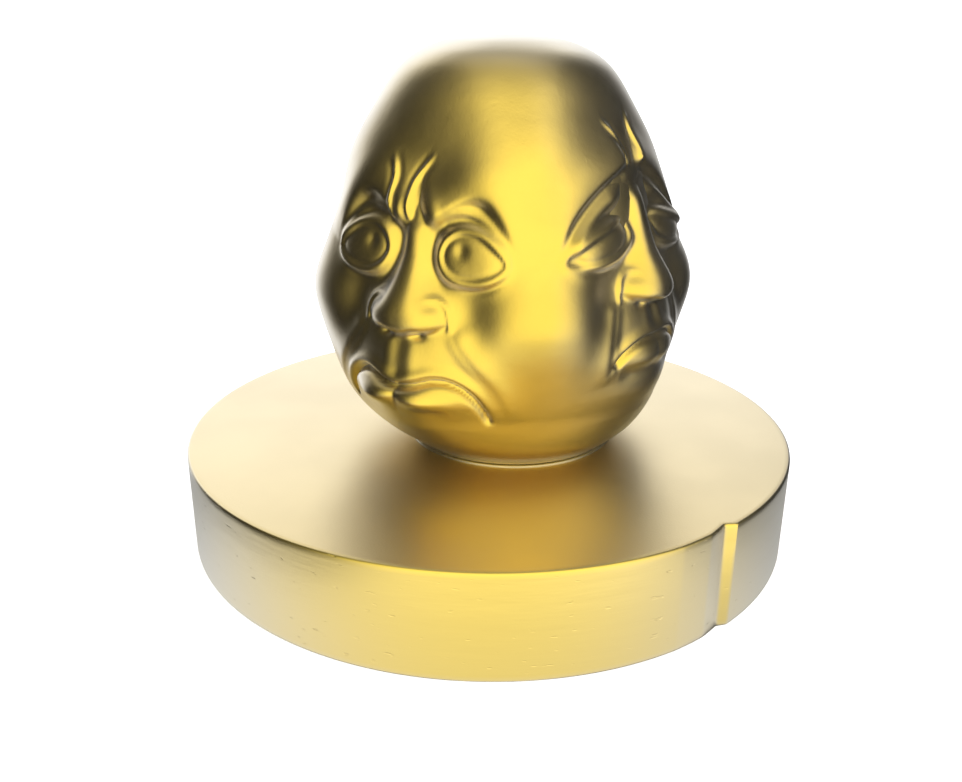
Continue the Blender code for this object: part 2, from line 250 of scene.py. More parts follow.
# The plain head is square-shouldered: it is flatter by this much at the middle of each face
FLAT_HEIGHTS = (0.0, 9.5, 14.5, 19.5, 29.5, 39.5, 49.5, 56.5, 64.5, 71.5)
FLAT_DEPTHS = (0.0, 0.0, 0.7, 2.0, 4.0, 4.8, 4.0, 2.6, 1.0, 0.0)
# The casting stands this far off its own neck, reached by this height
LEAN = (1.25, 3.52)
LEAN_RISE = 12.0
# Faces are drawn on a sheet wrapped round the head at this radius, a little past their quarter
SHEET_RADIUS = 33.0
QUARTER = math.pi / 4
REACH = 1.1 * QUARTER
# Cheek corners swell about this height above the foot, with these reaches across and up
CORNER_HEIGHT = 30.0
CORNER_REACH = (8.0, 10.5)
# Hollow beside each nose: middle and reaches
VALLEY = (12.5, 31.0, 4.2, 6.0)
# Hollow inside the casting: wall, heights of its rings, and how far it widens over the neck
WALL = 5.5
HOLLOW_HEIGHTS = (3.8, 9.0, 16.0, 24.0, 32.0, 40.0, 48.0, 56.0, 62.0, 66.0)
HOLLOW_WIDENS = 8.0

# The four faces. Lines and places are millimetres across from the face's middle and millimetres
# above the disc's top; all are mirrored to both sides but the frowns and the glabella.
#   azimuth: where the face looks, in degrees from -Y; corner: swell of the cheek corner after it
#   socket: depth round the eye; eye: outline of its opening; crease, bag: lines above and below
#   ball: eyeball's middle, half width, half height and dome; iris: dimple's middle and radius
#   lid_roll: line and height of the fold over the lid; brow, under: crest and lower line
#   brow_size: height, spread above, spread below; frowns: ridges between and over the brows
#   glabella: middle, reaches and swell between the brows; wing: middle of the nose's wing
#   nose: heights of bridge, tip and underside, then how far bridge and tip stand out
#   mouth, lip_edge: lines between the lips and under them; fold: line from nose to mouth corner
#   lip: upper roll's offset, then the lower lip's middle, reach and swell
#   muzzle, chin: height, reaches and swell; valley: depth beside the nose; cheek: middle and swell
MOODS = {
    "anger": {
        "azimuth": -85.5,
        "corner": 1.2,
        "socket": 1.3,
        "eye": (
            (6.4, 40.5), (7.4, 42.6), (10.0, 43.9), (13.3, 43.5), (15.9, 42.0), (17.9, 39.9),
            (16.3, 38.2), (12.9, 37.1), (9.7, 37.2), (7.4, 38.5),
        ),
        "ball": (11.2, 40.4, 7.2, 4.9, 2.3),
        "iris": (10.2, 41.4, 1.2),
        "crease": (
            (3.5, 43.6), (5.6, 45.1), (7.9, 46.1), (10.4, 46.4), (13.0, 45.7), (15.4, 44.3),
            (17.8, 41.7), (20.8, 38.5),
        ),
        "bag": (
            (6.4, 38.3), (8.8, 36.2), (11.4, 35.3), (14.0, 35.2), (16.4, 36.2), (18.7, 38.3),
        ),
        "lid_roll": (
            (
                (6.0, 46.4), (9.0, 47.4), (12.0, 47.3), (15.0, 46.0), (17.6, 43.6), (19.8, 40.8),
            ),
            0.5,
        ),
        "brow": (
            (1.6, 45.6), (5.3, 47.6), (8.6, 49.4), (12.0, 50.6), (15.2, 50.0), (18.2, 47.0),
            (20.0, 43.2), (21.2, 39.8),
        ),
        "under": (
            (4.2, 45.4), (7.7, 47.5), (10.2, 48.4), (12.6, 48.3), (14.9, 47.2), (17.2, 45.0),
            (19.2, 42.0), (20.6, 39.4),
        ),
        "brow_size": (1.5, 5.0, 2.2),
        "frowns": (
            (
                (-5.6, 45.4), (-6.2, 47.4), (-6.6, 49.6), (-6.4, 52.0), (-7.2, 54.2), (-8.6, 55.6),
            ),
            (
                (-1.6, 45.4), (-2.0, 47.2), (-2.0, 49.4), (-1.6, 51.8), (0.2, 54.1), (2.6, 56.2),
            ),
        ),
        "glabella": (-1.2, 47.2, 7.5, 4.4, 1.6),
        "nose": (44.3, 30.8, 27.2, 1.4, 4.0),
        "wing": (6.0, 30.4),
        "mouth": (
            (0.0, 18.0), (3.0, 18.6), (6.5, 19.6), (9.5, 19.1), (12.4, 17.2), (14.6, 14.3),
            (15.9, 11.4),
        ),
        "lip_edge": ((0.0, 15.6), (3.0, 14.6), (6.2, 14.0), (8.8, 14.4)),
        "lip": (1.4, 4.4, 16.0, 6.4, 2.8),
        "muzzle": (20.5, 8.8, 8.0, 3.0),
        "chin": (11.6, 8.5, 4.5, 1.5),
        "fold": (
            (8.8, 28.0), (10.4, 25.2), (13.3, 21.6), (16.2, 18.2), (17.8, 14.6), (18.4, 11.6),
        ),
        "valley": 1.1,
        "cheek": (19.0, 29.0, 0.2),
    },
    "sorrow": {
        "azimuth": 0.0,
        "corner": 2.6,
        "socket": 0.1,
        "eye": (
            (5.2, 43.7), (5.9, 45.0), (8.6, 44.8), (12.0, 43.9), (15.4, 42.9), (18.4, 41.7),
            (20.6, 40.1), (16.8, 39.6), (13.2, 39.9), (9.4, 40.6), (6.4, 41.9),
        ),
        "ball": (11.6, 42.0, 7.6, 3.9, 2.3),
        "iris": None,
        "crease": (
            (4.4, 47.0), (8.9, 46.6), (12.6, 45.8), (15.8, 44.7), (18.8, 42.6), (21.1, 40.5),
        ),
        "bag": ((6.4, 39.8), (11.2, 37.8), (16.2, 37.9), (20.4, 38.9)),
        "lid_roll": (
            (
                (5.0, 49.8), (9.0, 49.2), (13.0, 47.6), (16.8, 45.4), (19.6, 43.2), (22.0, 40.8),
            ),
            1.1,
        ),
        "brow": (
            (2.0, 55.6), (5.6, 54.4), (11.5, 52.0), (16.4, 49.3), (19.9, 46.5), (22.0, 43.4),
            (22.8, 40.4),
        ),
        "under": (
            (3.0, 52.6), (6.6, 52.0), (10.6, 50.6), (14.7, 48.4), (18.3, 45.7), (20.9, 42.9),
            (22.2, 40.6),
        ),
        "brow_size": (1.1, 4.2, 1.0),
        "frowns": (
            ((-1.4, 54.0), (-1.8, 56.0), (-3.0, 58.0), (-4.8, 59.9), (-7.4, 61.6)),
            ((3.6, 54.6), (4.4, 56.6), (4.3, 58.6), (4.4, 60.4), (6.0, 62.6)),
        ),
        "glabella": (-2.0, 50.0, 9.0, 7.0, 1.6),
        "nose": (49.4, 34.6, 31.2, 1.2, 5.4),
        "wing": (6.2, 34.0),
        "mouth": ((0.0, 24.8), (3.0, 24.8), (6.0, 24.2), (8.8, 22.8), (10.8, 20.8)),
        "lip_edge": ((0.0, 19.2), (3.0, 18.9), (6.4, 19.0), (9.4, 19.3)),
        "lip": (1.0, 2.6, 21.6, 6.2, 1.3),
        "muzzle": (25.0, 10.5, 7.5, 1.6),
        "chin": (15.2, 9.0, 5.5, 1.2),
        "fold": ((9.6, 32.0), (10.5, 28.8), (11.2, 25.5), (11.5, 21.6), (11.1, 17.8)),
        "valley": 1.1,
        "cheek": (19.0, 29.0, 0.2),
    },
    "calm": {
        "azimuth": 180.0,
        "corner": 1.0,
        "socket": 1.0,
        "eye": (
            (5.8, 42.0), (7.6, 43.2), (10.4, 43.9), (13.4, 43.6), (16.6, 42.6), (19.8, 41.2),
            (16.4, 40.3), (12.6, 39.9), (8.6, 40.5),
        ),
        "ball": (12.2, 41.9, 7.2, 4.1, 2.3),
        "iris": None,
        "crease": (
            (5.4, 44.2), (8.4, 45.9), (12.0, 46.4), (15.6, 45.4), (18.8, 43.4), (21.2, 41.4),
        ),
        "bag": ((7.0, 39.4), (11.8, 38.0), (16.2, 38.6), (19.6, 40.2)),
        "lid_roll": (((6.0, 46.6), (9.4, 48.0), (13.0, 48.0), (16.8, 46.4), (20.0, 43.6)), 0.5),
        "brow": (
            (3.4, 47.8), (6.8, 50.2), (11.0, 51.6), (15.4, 51.4), (19.2, 49.0), (21.6, 45.4),
        ),
        "under": (
            (4.2, 46.4), (7.4, 48.6), (11.2, 49.8), (15.0, 49.4), (18.6, 47.0), (21.0, 43.8),
        ),
        "brow_size": (1.3, 3.2, 1.3),
        "frowns": (),
        "glabella": (0.0, 48.0, 6.0, 5.0, 0.9),
        "nose": (47.6, 33.4, 30.0, 1.2, 4.8),
        "wing": (6.1, 32.8),
        "mouth": ((0.0, 23.0), (3.0, 23.2), (6.2, 22.8), (8.8, 23.2), (10.8, 24.2)),
        "lip_edge": ((0.0, 18.2), (3.0, 18.0), (6.4, 18.6), (9.0, 20.2)),
        "lip": (1.0, 2.8, 20.2, 6.0, 2.0),
        "muzzle": (22.8, 10.5, 7.5, 2.8),
        "chin": (13.8, 8.5, 5.0, 2.2),
        "fold": ((9.4, 31.0), (11.4, 28.4), (13.0, 25.6), (13.8, 22.6)),
        "valley": 0.5,
        "cheek": (18.0, 29.0, 0.5),
    },
    "joy": {
        "azimuth": 90.0,
        "corner": 1.8,
        "socket": 1.0,
        "eye": (
            (6.0, 41.0), (7.8, 43.0), (10.6, 44.2), (13.6, 44.1), (16.8, 42.9), (20.0, 40.5),
            (16.8, 41.0), (12.8, 41.3), (8.8, 41.1),
        ),
        "ball": (12.6, 42.0, 7.1, 4.0, 2.3),
        "iris": None,
        "crease": (
            (5.4, 43.6), (8.6, 46.0), (12.4, 46.8), (16.2, 45.6), (19.2, 43.0), (21.6, 40.6),
        ),
        "bag": ((7.0, 38.8), (11.4, 37.8), (16.4, 37.9), (20.8, 39.0)),
        "lid_roll": (((6.0, 46.4), (9.4, 48.6), (13.2, 49.2), (17.2, 47.6), (20.4, 44.2)), 0.5),
        "brow": (
            (3.4, 48.4), (6.8, 51.6), (11.2, 53.4), (15.8, 53.0), (19.6, 50.2), (22.0, 46.2),
        ),
        "under": (
            (4.2, 47.0), (7.4, 49.9), (11.4, 51.5), (15.4, 51.0), (18.8, 48.4), (21.4, 44.6),
        ),
        "brow_size": (1.4, 3.2, 1.3),
        "frowns": (),
        "glabella": (0.0, 48.0, 6.0, 5.0, 0.9),
        "nose": (46.8, 31.8, 28.6, 1.2, 4.8),
        "wing": (6.6, 31.4),
        "mouth": ((0.0, 20.0), (4.0, 20.4), (8.4, 21.6), (12.0, 23.6), (15.0, 26.2)),
        "lip_edge": ((0.0, 14.4), (4.0, 14.8), (8.0, 16.6), (11.4, 19.6)),
        "lip": (1.2, 4.0, 17.4, 7.0, 2.3),
        "muzzle": (21.2, 13.0, 7.5, 2.9),
        "chin": (11.4, 8.5, 4.5, 2.2),
        "fold": ((9.8, 30.4), (13.0, 29.6), (16.4, 27.4), (18.2, 23.6), (17.4, 19.6)),
        "valley": 0.4,
        "cheek": (19.0, 30.5, 1.2),
    },
}


def mound(x, z, middle_x, middle_z, reach_x, reach_z, height):
    """Soft oval mound: height times the falling exponential of the squared distance."""
    return height * np.exp(-(((x - middle_x) / reach_x) ** 2) - ((z - middle_z) / reach_z) ** 2)


def soft_step(value, width):
    """Smooth step from 0 to 1 about zero."""
    return 0.5 * (1.0 + np.tanh(value / width))


def soft_root(value):
    """Square root of the value, easing to nearly nothing below zero instead of a kink."""
    return np.sqrt(0.5 * (value + np.sqrt(value**2 + 0.02)))


def roll(away, side, left, right, height):
    """Ridge with its own width on each side of its line."""
    width = np.where(side > 0, left, right)
    return height * np.exp(-((away / width) ** 2))


def taper(along, start=0.12, end=0.12):
    """Fades a line in and out at its ends."""
    rise = np.clip(along / start, 0.0, 1.0) if start else 1.0
    fall = np.clip((1.0 - along) / end, 0.0, 1.0) if end else 1.0
    return np.sin(rise * math.pi / 2) * np.sin(fall * math.pi / 2)


def eye_relief(x, z, mood):
    """Socket, domed eyeball, lids round its opening, a dimpled iris, crease, lid fold and bag.

    Ball and lid are the dome times the root of one less the squared distance in half sizes.
    """
    ball_x, ball_z, reach_x, reach_z, dome = mood["ball"]
    height = mound(x, z, ball_x + 0.8, ball_z + 0.3, 8.6, 6.8, -mood["socket"])
    away, side, _ = nearest_on_line(x, z, mood["eye"], loop=True)
    outside = np.where(side > 0, 1.0, -1.0) * away
    opening = soft_step(-outside - 0.1, 0.3)
    swell = 1.0 - ((x - ball_x) / reach_x) ** 2 - ((z - ball_z) / reach_z) ** 2
    ball = dome * soft_root(swell)
    lid = dome * soft_root(swell + 0.2) * soft_step(2.6 - outside, 1.4)
    height += opening * ball + (1.0 - opening) * lid
    height -= 0.2 * np.exp(-(((outside + 0.1) / 0.4) ** 2))
    height += 0.34 * np.exp(-(((outside - 0.9) / 0.75) ** 2))
    if mood["iris"]:
        iris_x, iris_z, radius = mood["iris"]
        height += opening * mound(x, z, iris_x, iris_z, radius, radius, -0.35)
    away, side, along = nearest_on_line(x, z, mood["crease"])
    height += taper(along, 0.2, 0.2) * (
        -0.32 * np.exp(-((away / 0.6) ** 2)) + roll(away, side, 1.8, 0.8, 0.3)
    )
    line, raised = mood["lid_roll"]
    away, _, along = nearest_on_line(x, z, line)
    height += raised * taper(along, 0.25, 0.3) * np.exp(-((away / 1.6) ** 2))
    away, side, along = nearest_on_line(x, z, mood["bag"])
    return height + taper(along, 0.25, 0.25) * (
        -0.26 * np.exp(-((away / 0.5) ** 2)) + roll(away, side, 0.6, 1.7, 0.2)
    )


def brow_relief(x, z, across, mood):
    """Brow roll over a soft underside line, the swell between the brows, and frown ridges."""
    size, above, below = mood["brow_size"]
    away, side, along = nearest_on_line(x, z, mood["brow"])
    height = taper(along, 0.12, 0.35) * roll(away, side, above, below, size)
    away, _, along = nearest_on_line(x, z, mood["under"])
    height -= taper(along, 0.2, 0.3) * 0.32 * np.exp(-((away / 0.8) ** 2))
    middle, level, reach_x, reach_z, swell = mood["glabella"]
    height += mound(across, z, middle, level, reach_x, reach_z, swell)
    for line in mood["frowns"]:
        away, _, along = nearest_on_line(across, z, line)
        height += taper(along, 0.06, 0.3) * (
            0.42 * np.exp(-((away / 0.38) ** 2)) - 0.1 * np.exp(-(((away - 1.1) / 0.6) ** 2))
        )
    return height


def nose_relief(x, z, mood):
    """Wedge that widens and rises from the bridge to the tip, with wings and a cut underside.

    Its rise grows evenly down the nose, less a soft ramp that starts just above the tip.
    """
    bridge, tip, under, bridge_height, tip_height = mood["nose"]
    wing_x, wing_z = mood["wing"]
    down = np.clip((bridge - z) / (bridge - tip), 0.0, 1.4)
    half = 2.8 + 2.5 * np.clip(down, 0.0, 1.0) ** 1.3
    slope = tip_height - bridge_height
    rise = bridge_height + slope * down - (slope + 7.0) * np.log1p(np.exp((down - 0.97) * 9.0)) / 9.0
    begin = soft_step(bridge + 0.6 - z, 1.0)
    beneath = soft_step(z - under - 0.03 * x**2, 0.55)
    wedge = begin * rise * np.exp(-((x / half) ** 2) ** 1.5)
    ball = mound(x, z, 0.0, tip, 4.6, 3.8, 0.5)
    wing = mound(x, z, wing_x - 0.3, wing_z - 0.2, 2.7, 2.8, 1.1)
    height = beneath * (wedge + ball + wing)
    arc = (
        (wing_x - 2.2, wing_z + 3.1),
        (wing_x + 0.3, wing_z + 2.8),
        (wing_x + 2.1, wing_z + 1.6),
        (wing_x + 2.8, wing_z - 0.6),
        (wing_x + 2.7, wing_z - 2.4),
    )
    away, side, along = nearest_on_line(x, z, arc)
    signed = away * side
    height += taper(along, 0.25, 0.1) * (
        0.4 * np.exp(-((signed / 0.45) ** 2))
        - 0.2 * np.exp(-(((signed + 1.1) / 0.8) ** 2))
    )
    return height + mound(x, z, 3.0, under + 0.1, 1.3, 0.8, -1.0)


def mouth_relief(x, z, mood):
    """Muzzle, lips either side of the mouth line, philtrum, chin and the fold beside the nose."""
    under = mood["nose"][2]
    middle, reach_x, reach_z, swell = mood["muzzle"]
    upper, lip_x, lip_z, lip_reach, plump = mood["lip"]
    height = mound(x, z, 0.0, middle, reach_x, reach_z, swell)
    chin_z, chin_x, chin_reach, chin = mood["chin"]
    height += mound(x, z, 0.0, chin_z, chin_x, chin_reach, chin)
    away, side, along = nearest_on_line(x, z, mood["mouth"])
    signed = away * side
    height += taper(along, 0.0, 0.4) * 0.7 * np.exp(-(((signed - upper) / 1.1) ** 2))
    height += soft_step(-signed, 0.4) * mound(x, z, lip_x, lip_z, lip_reach, 2.6, plump)
    height -= taper(along, 0.0, 0.12) * 1.15 * np.exp(-((signed / 0.55) ** 2))
    away, _, along = nearest_on_line(x, z, mood["lip_edge"])
    height -= taper(along, 0.0, 0.4) * 0.5 * np.exp(-((away / 1.3) ** 2))
    top = mood["mouth"][0][1] + 1.8
    groove = soft_step(z - top, 0.6) * soft_step(under - 0.4 - z, 0.6)
    height += groove * (
        -0.22 * np.exp(-((x / 1.5) ** 2)) + 0.12 * np.exp(-(((x - 2.4) / 1.3) ** 2))
    )
    away, side, along = nearest_on_line(x, z, mood["fold"])
    height += taper(along, 0.15, 0.3) * (
        -0.3 * np.exp(-((away / 0.9) ** 2)) + roll(away, side, 3.2, 1.0, 0.6)
    )
    height += mound(x, z, *VALLEY, -mood["valley"])
    cheek_x, cheek_z, cheek = mood["cheek"]
    return height + mound(x, z, cheek_x, cheek_z, 8.0, 7.5, cheek)


def face_relief(azimuths, heights, mood):
    """Relief of one face over the plain head; azimuths in radians from the face's middle."""
    across = azimuths * SHEET_RADIUS
    x = np.abs(across)
    z = heights + FOOT - DISC_TOP
    height = eye_relief(x, z, mood) + brow_relief(x, z, across, mood)
    return height + nose_relief(x, z, mood) + mouth_relief(x, z, mood)


def wrap(angles):
    """Angles brought to -pi .. pi."""
    return np.mod(angles + math.pi, TURN) - math.pi


def hollow_rings(azimuths):
    """The casting's foot and hollow as rings, from the foot's outer edge up to the hollow's roof."""
    socket = (PLATE[1][0] - PLATE[0][0]) / 2 / MM + GAP
    lip = DISC_TOP + 0.25 - FOOT
    inside = [(19.95, lip * 0.5), (19.8, lip), (socket, lip), (socket + 0.2, 0.0), (socket, 0.2)]
    radii, heights = zip(*OUTLINE)
    for height in HOLLOW_HEIGHTS:
        plain = np.interp(height, heights, radii)
        inside.append((min(socket + HOLLOW_WIDENS * (height > 8.0), plain - WALL), height))
    return np.array([
        ring_points(np.full(azimuths.shape, radius), FOOT + height, azimuths, PIVOT)
        for radius, height in inside
    ])


def head_columns(count):
    """Azimuths of the grid's columns: closer over the faces than on the corners between them."""
    place = np.arange(count) / count * TURN
    return place - 0.06 * np.sin(4 * place)


def head_rows(count):
    """Outline read so that the band with the faces gets closer rows than crown and foot."""
    line = smooth_line(OUTLINE, per_span=24)
    step = np.hypot(*np.diff(line, axis=0).T)
    middle = 0.5 * (line[1:, 1] + line[:-1, 1])
    weight = np.where((middle > 9.0) & (middle < 63.0), 1.0, 0.62)
    place = np.concatenate([[0.0], np.cumsum(step * weight)])
    wanted = np.linspace(0.0, place[-1], count)
    return np.interp(wanted, place, line[:, 0]), np.interp(wanted, place, line[:, 1])


def head_surface(columns, rows, scale):
    """Outside of the head as rings: outline, less flats, plus cheek corners and four reliefs."""
    azimuths = head_columns(columns)
    radius, height = head_rows(rows)
    grid = np.repeat(radius[:, None], columns, axis=1)
    tall = np.repeat(height[:, None], columns, axis=1)
    flat = np.interp(height, FLAT_HEIGHTS, FLAT_DEPTHS)[:, None]
    fade = np.clip(height / 9.0, 0.0, 1.0) * np.clip((68.0 - height) / 6.0, 0.0, 1.0)
    for mood in MOODS.values():
        offset = wrap(azimuths - math.radians(mood["azimuth"]))
        near = np.abs(offset) < REACH
        shape = np.where(near, np.cos(2 * np.clip(offset, -QUARTER, QUARTER)) ** 2, 0.0)
        grid -= flat * shape[None, :]
        corner = wrap(offset - QUARTER) * SHEET_RADIUS
        beside, upright = CORNER_REACH
        level = np.exp(-(((height - CORNER_HEIGHT) / upright) ** 2))[:, None]
        grid += mood["corner"] * np.exp(-((corner / beside) ** 2)) * level
        local = np.broadcast_to(offset[near], (rows, near.sum()))
        edge = np.clip((REACH - np.abs(offset[near])) / 0.09, 0.0, 1.0)
        band = (height > 4.0) & (height < 70.0)
        relief = np.zeros((rows, near.sum()))
        relief[band] = face_relief(local[band], tall[:, near][band], mood)
        grid[:, near] += relief * edge * fade[:, None] * scale
    share = np.clip(height / LEAN_RISE, 0.0, 1.0)
    share = share * share * (3 - 2 * share)
    centre_x = PIVOT[0] + LEAN[0] * share
    centre_y = PIVOT[1] + LEAN[1] * share
    x = centre_x[:, None] + grid * np.sin(azimuths)
    y = centre_y[:, None] - grid * np.cos(azimuths)
    return np.stack([x, y, FOOT + tall], axis=-1) * MM, azimuths


# ---------------------------------------------------------------------------
# Shader helpers
# ---------------------------------------------------------------------------


class Wire:
    """A node socket that builds Math nodes when it is used in an expression."""

    def __init__(self, graph, socket):
        self.graph = graph
        self.socket = socket

    def _math(self, operation, first, second):
        return self.graph.node("ShaderNodeMath", {"operation": operation}, {0: first, 1: second})

    def __add__(self, other):
        return self._math("ADD", self, other)

    __radd__ = __add__

    def __sub__(self, other):
        return self._math("SUBTRACT", self, other)

    def __rsub__(self, other):
        return self._math("SUBTRACT", other, self)

    def __mul__(self, other):
        return self._math("MULTIPLY", self, other)

    __rmul__ = __mul__

    def __truediv__(self, other):
        return self._math("DIVIDE", self, other)

    def __rtruediv__(self, other):
        return self._math("DIVIDE", other, self)

    def __pow__(self, other):
        return self._math("POWER", self, other)

    def ramp(self, low, high):
        """0 at low, 1 at high, smooth between."""
        return self.graph.node(
            "ShaderNodeMapRange", {"interpolation_type": "SMOOTHSTEP"}, {0: self, 1: low, 2: high}
        )


class Graph:
    """Node tree of one material or of the world."""

    def __init__(self, owner):
        owner.use_nodes = True
        self.tree = owner.node_tree

    def node(self, kind, settings=None, inputs=None, output=0):
        """Add a node: its settings first, then values or links for its sockets."""
        made = self.tree.nodes.new(kind)
        for key, value in (settings or {}).items():
            setattr(made, key, value)
        for key, value in (inputs or {}).items():
            self.feed(made.inputs[key], value)
        return Wire(self, made.outputs[output])

    def feed(self, socket, value):
        """Link a wire to a socket, or set its value."""
        if isinstance(value, Wire):
            self.tree.links.new(value.socket, socket)
        elif hasattr(value, "__len__") and socket.type == "RGBA" and len(value) == 3:
            socket.default_value = (*value, 1.0)
        else:
            socket.default_value = value

    def mix(self, factor, low, high):
        """Blend two colours."""
        return self.node(
            "ShaderNodeMix", {"data_type": "RGBA"}, {0: factor, 6: low, 7: high}, output=2
        )

    def place(self):
        """Object coordinates, in metres."""
        return self.node("ShaderNodeTexCoord", output=3)

    def scaled(self, size):
        """Object coordinates stretched to one unit for each size along X, Y and Z, in metres."""
        scale = tuple(1.0 / s for s in size)
        return self.node("ShaderNodeMapping", None, {"Vector": self.place(), "Scale": scale})

    def noise(self, size, detail=2.0, roughness=0.5):
        """Noise with lumps of about one size, in metres; size is a number or one for each axis."""
        size = size if hasattr(size, "__len__") else (size,) * 3
        return self.node(
            "ShaderNodeTexNoise",
            None,
            {"Vector": self.scaled(size), "Scale": 1.0, "Detail": detail, "Roughness": roughness},
        )

    def bump(self, height, distance, strength=1.0):
        """Turn a height, in units of distance in metres, into a normal."""
        return self.node(
            "ShaderNodeBump", None, {"Height": height, "Distance": distance, "Strength": strength}
        )


def principled(name, constants):
    """A new material: its graph and its Principled shader with constant sockets set."""
    made = bpy.data.materials.new(name)
    graph = Graph(made)
    shader = graph.tree.nodes["Principled BSDF"]
    for key, value in constants.items():
        graph.feed(shader.inputs[key], value)
    return made, graph, shader


LACQUER_WHITE = (0.7, 0.7, 0.7)


def glancing(graph, colour, share):
    """Gloss of a clear lacquer on metal: the metal's colour goes to white at a glancing angle.

    The white part is share times the fourth power of the sine of the angle to the normal.
    """
    facing = graph.node("ShaderNodeLayerWeight", None, {"Blend": 0.75}, output=1)
    return graph.mix(facing * facing * share, colour, LACQUER_WHITE)


def gold_finish(name, colour, roughness, grain, pits):
    """Satin-polished gold: fine grain, shallow pits, and patches of duller polish."""
    made, graph, shader = principled(name, {"Metallic": 1.0})
    patches = graph.noise(14 * MM, 3.0).ramp(0.35, 0.7)
    fine = graph.noise(0.45 * MM, 3.0, 0.6)
    broad = graph.noise(3.2 * MM, 2.0)
    pitted = graph.noise(0.9 * MM, 1.0).ramp(0.68, 0.8)
    darker = tuple(c * 0.9 for c in colour)
    polish = graph.mix(patches * 0.6, colour, darker)
    graph.feed(shader.inputs["Base Color"], glancing(graph, polish, 0.85))
    graph.feed(shader.inputs["Roughness"], roughness + 0.05 * patches + 0.05 * (fine - 0.5))
    height = fine * grain + broad * (grain * 2.0) - pitted * pits
    graph.feed(shader.inputs["Normal"], graph.bump(height, 1 * MM))
    return made


def turned_finish(name, colour, roughness):
    """Turned side of the disc: long fine streaks round the rim, with a few nicks."""
    made, graph, shader = principled(name, {"Metallic": 1.0})
    streaks = graph.noise((9 * MM, 9 * MM, 0.35 * MM), 4.0, 0.6)
    waves = graph.noise((16 * MM, 16 * MM, 2.2 * MM), 3.0)
    nicks = graph.noise((2.6 * MM, 2.6 * MM, 0.8 * MM), 1.0).ramp(0.70, 0.78)
    pale = tuple(min(1.0, c * 1.06) for c in colour)
    turned = graph.mix(streaks, colour, pale)
    graph.feed(shader.inputs["Base Color"], glancing(graph, turned, 0.88))
    graph.feed(shader.inputs["Roughness"], roughness + 0.12 * (streaks - 0.5) + 0.1 * nicks)
    height = streaks * 0.010 + waves * 0.05 - nicks * 0.05
    graph.feed(shader.inputs["Normal"], graph.bump(height, 1 * MM))
    return made


def satin_finish(name, colour, roughness):
    """Blasted top of the disc: fine even grain with faint cloudy patches."""
    made, graph, shader = principled(name, {"Metallic": 1.0})
    clouds = graph.noise(22 * MM, 3.0).ramp(0.3, 0.7)
    grain = graph.noise(0.35 * MM, 2.0, 0.6)
    darker = tuple(c * 0.96 for c in colour)
    blasted = graph.mix(clouds, colour, darker)
    graph.feed(shader.inputs["Base Color"], glancing(graph, blasted, 0.68))
    graph.feed(shader.inputs["Roughness"], roughness + 0.04 * clouds + 0.06 * (grain - 0.5))
    graph.feed(shader.inputs["Normal"], graph.bump(grain * 0.02 + clouds * 0.02, 1 * MM))
    return made


def steel_finish(name):
    """Zinc-plated steel with turning marks."""
    made, graph, shader = principled(name, {"Metallic": 1.0})
    marks = graph.noise((4 * MM, 4 * MM, 0.3 * MM), 3.0)
    graph.feed(shader.inputs["Base Color"], graph.mix(marks, (0.60, 0.62, 0.65), (0.72, 0.73, 0.74)))
    graph.feed(shader.inputs["Roughness"], 0.28 + 0.15 * marks)
    graph.feed(shader.inputs["Normal"], graph.bump(marks, 0.02 * MM))
    return made


def bronze_finish(name):
    """Oil-stained bearing bronze."""
    made, graph, shader = principled(name, {"Metallic": 1.0})
    stain = graph.noise(2.5 * MM, 4.0)
    graph.feed(shader.inputs["Base Color"], graph.mix(stain, (0.50, 0.30, 0.14), (0.68, 0.46, 0.24)))
    graph.feed(shader.inputs["Roughness"], 0.32 + 0.2 * stain)
    graph.feed(shader.inputs["Normal"], graph.bump(stain, 0.03 * MM))
    return made


def felt_finish(name):
    """Wool felt: matted fibres with lint."""
    made, graph, shader = principled(
        name, {"Sheen Weight": 0.6, "Sheen Roughness": 0.6, "Specular IOR Level": 0.2}
    )
    fibres = graph.noise((0.25 * MM, 1.2 * MM, 0.25 * MM), 4.0, 0.7)
    crossed = graph.noise((1.2 * MM, 0.25 * MM, 0.25 * MM), 4.0, 0.7)
    matted = (fibres + crossed) * 0.5
    graph.feed(shader.inputs["Base Color"], graph.mix(matted, (0.012, 0.045, 0.025), (0.06, 0.14, 0.08)))
    graph.feed(shader.inputs["Roughness"], 0.88 + 0.1 * matted)
    graph.feed(shader.inputs["Normal"], graph.bump(matted, 0.25 * MM))
    return made


# ---------------------------------------------------------------------------
# Operators
# ---------------------------------------------------------------------------


class DOLL_OT_head(bpy.types.Operator):
    """Sculpt the head with its four moods"""

    bl_idname = "doll.head"
    bl_label = "Head"

    def execute(self, context):
        chosen = context.scene.doll_head
        outside, azimuths = head_surface(chosen.columns, chosen.rows, chosen.relief)
        stack = np.concatenate([hollow_rings(azimuths)[::-1], outside])
        mesh = skin_rings("head", stack, closed=False)
        finish = gold_finish("polished_gold", tuple(chosen.gold), 0.33, 0.016, 0.008)
        made = link("head", mesh, "head", finish)
        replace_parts(made, "head_shell")
        return {"FINISHED"}


# Index notch: azimuths of its start and its deepest place, then widths of its steep part and wall
NOTCH_START = math.radians(-23.0)
NOTCH_END = math.radians(-12.6)
NOTCH_STEEP = math.radians(4.2)
NOTCH_WALL = math.radians(1.7)
NOTCH_DEEP = 1.3
NOTCH_LOW_DEEP = 0.9
# Bore through the disc and the counterbore below its web, radii and height
BORE = 9.0
COUNTERBORE = 14.0
WEB_BOTTOM = 11.0
RIM_WEAR = 0.02


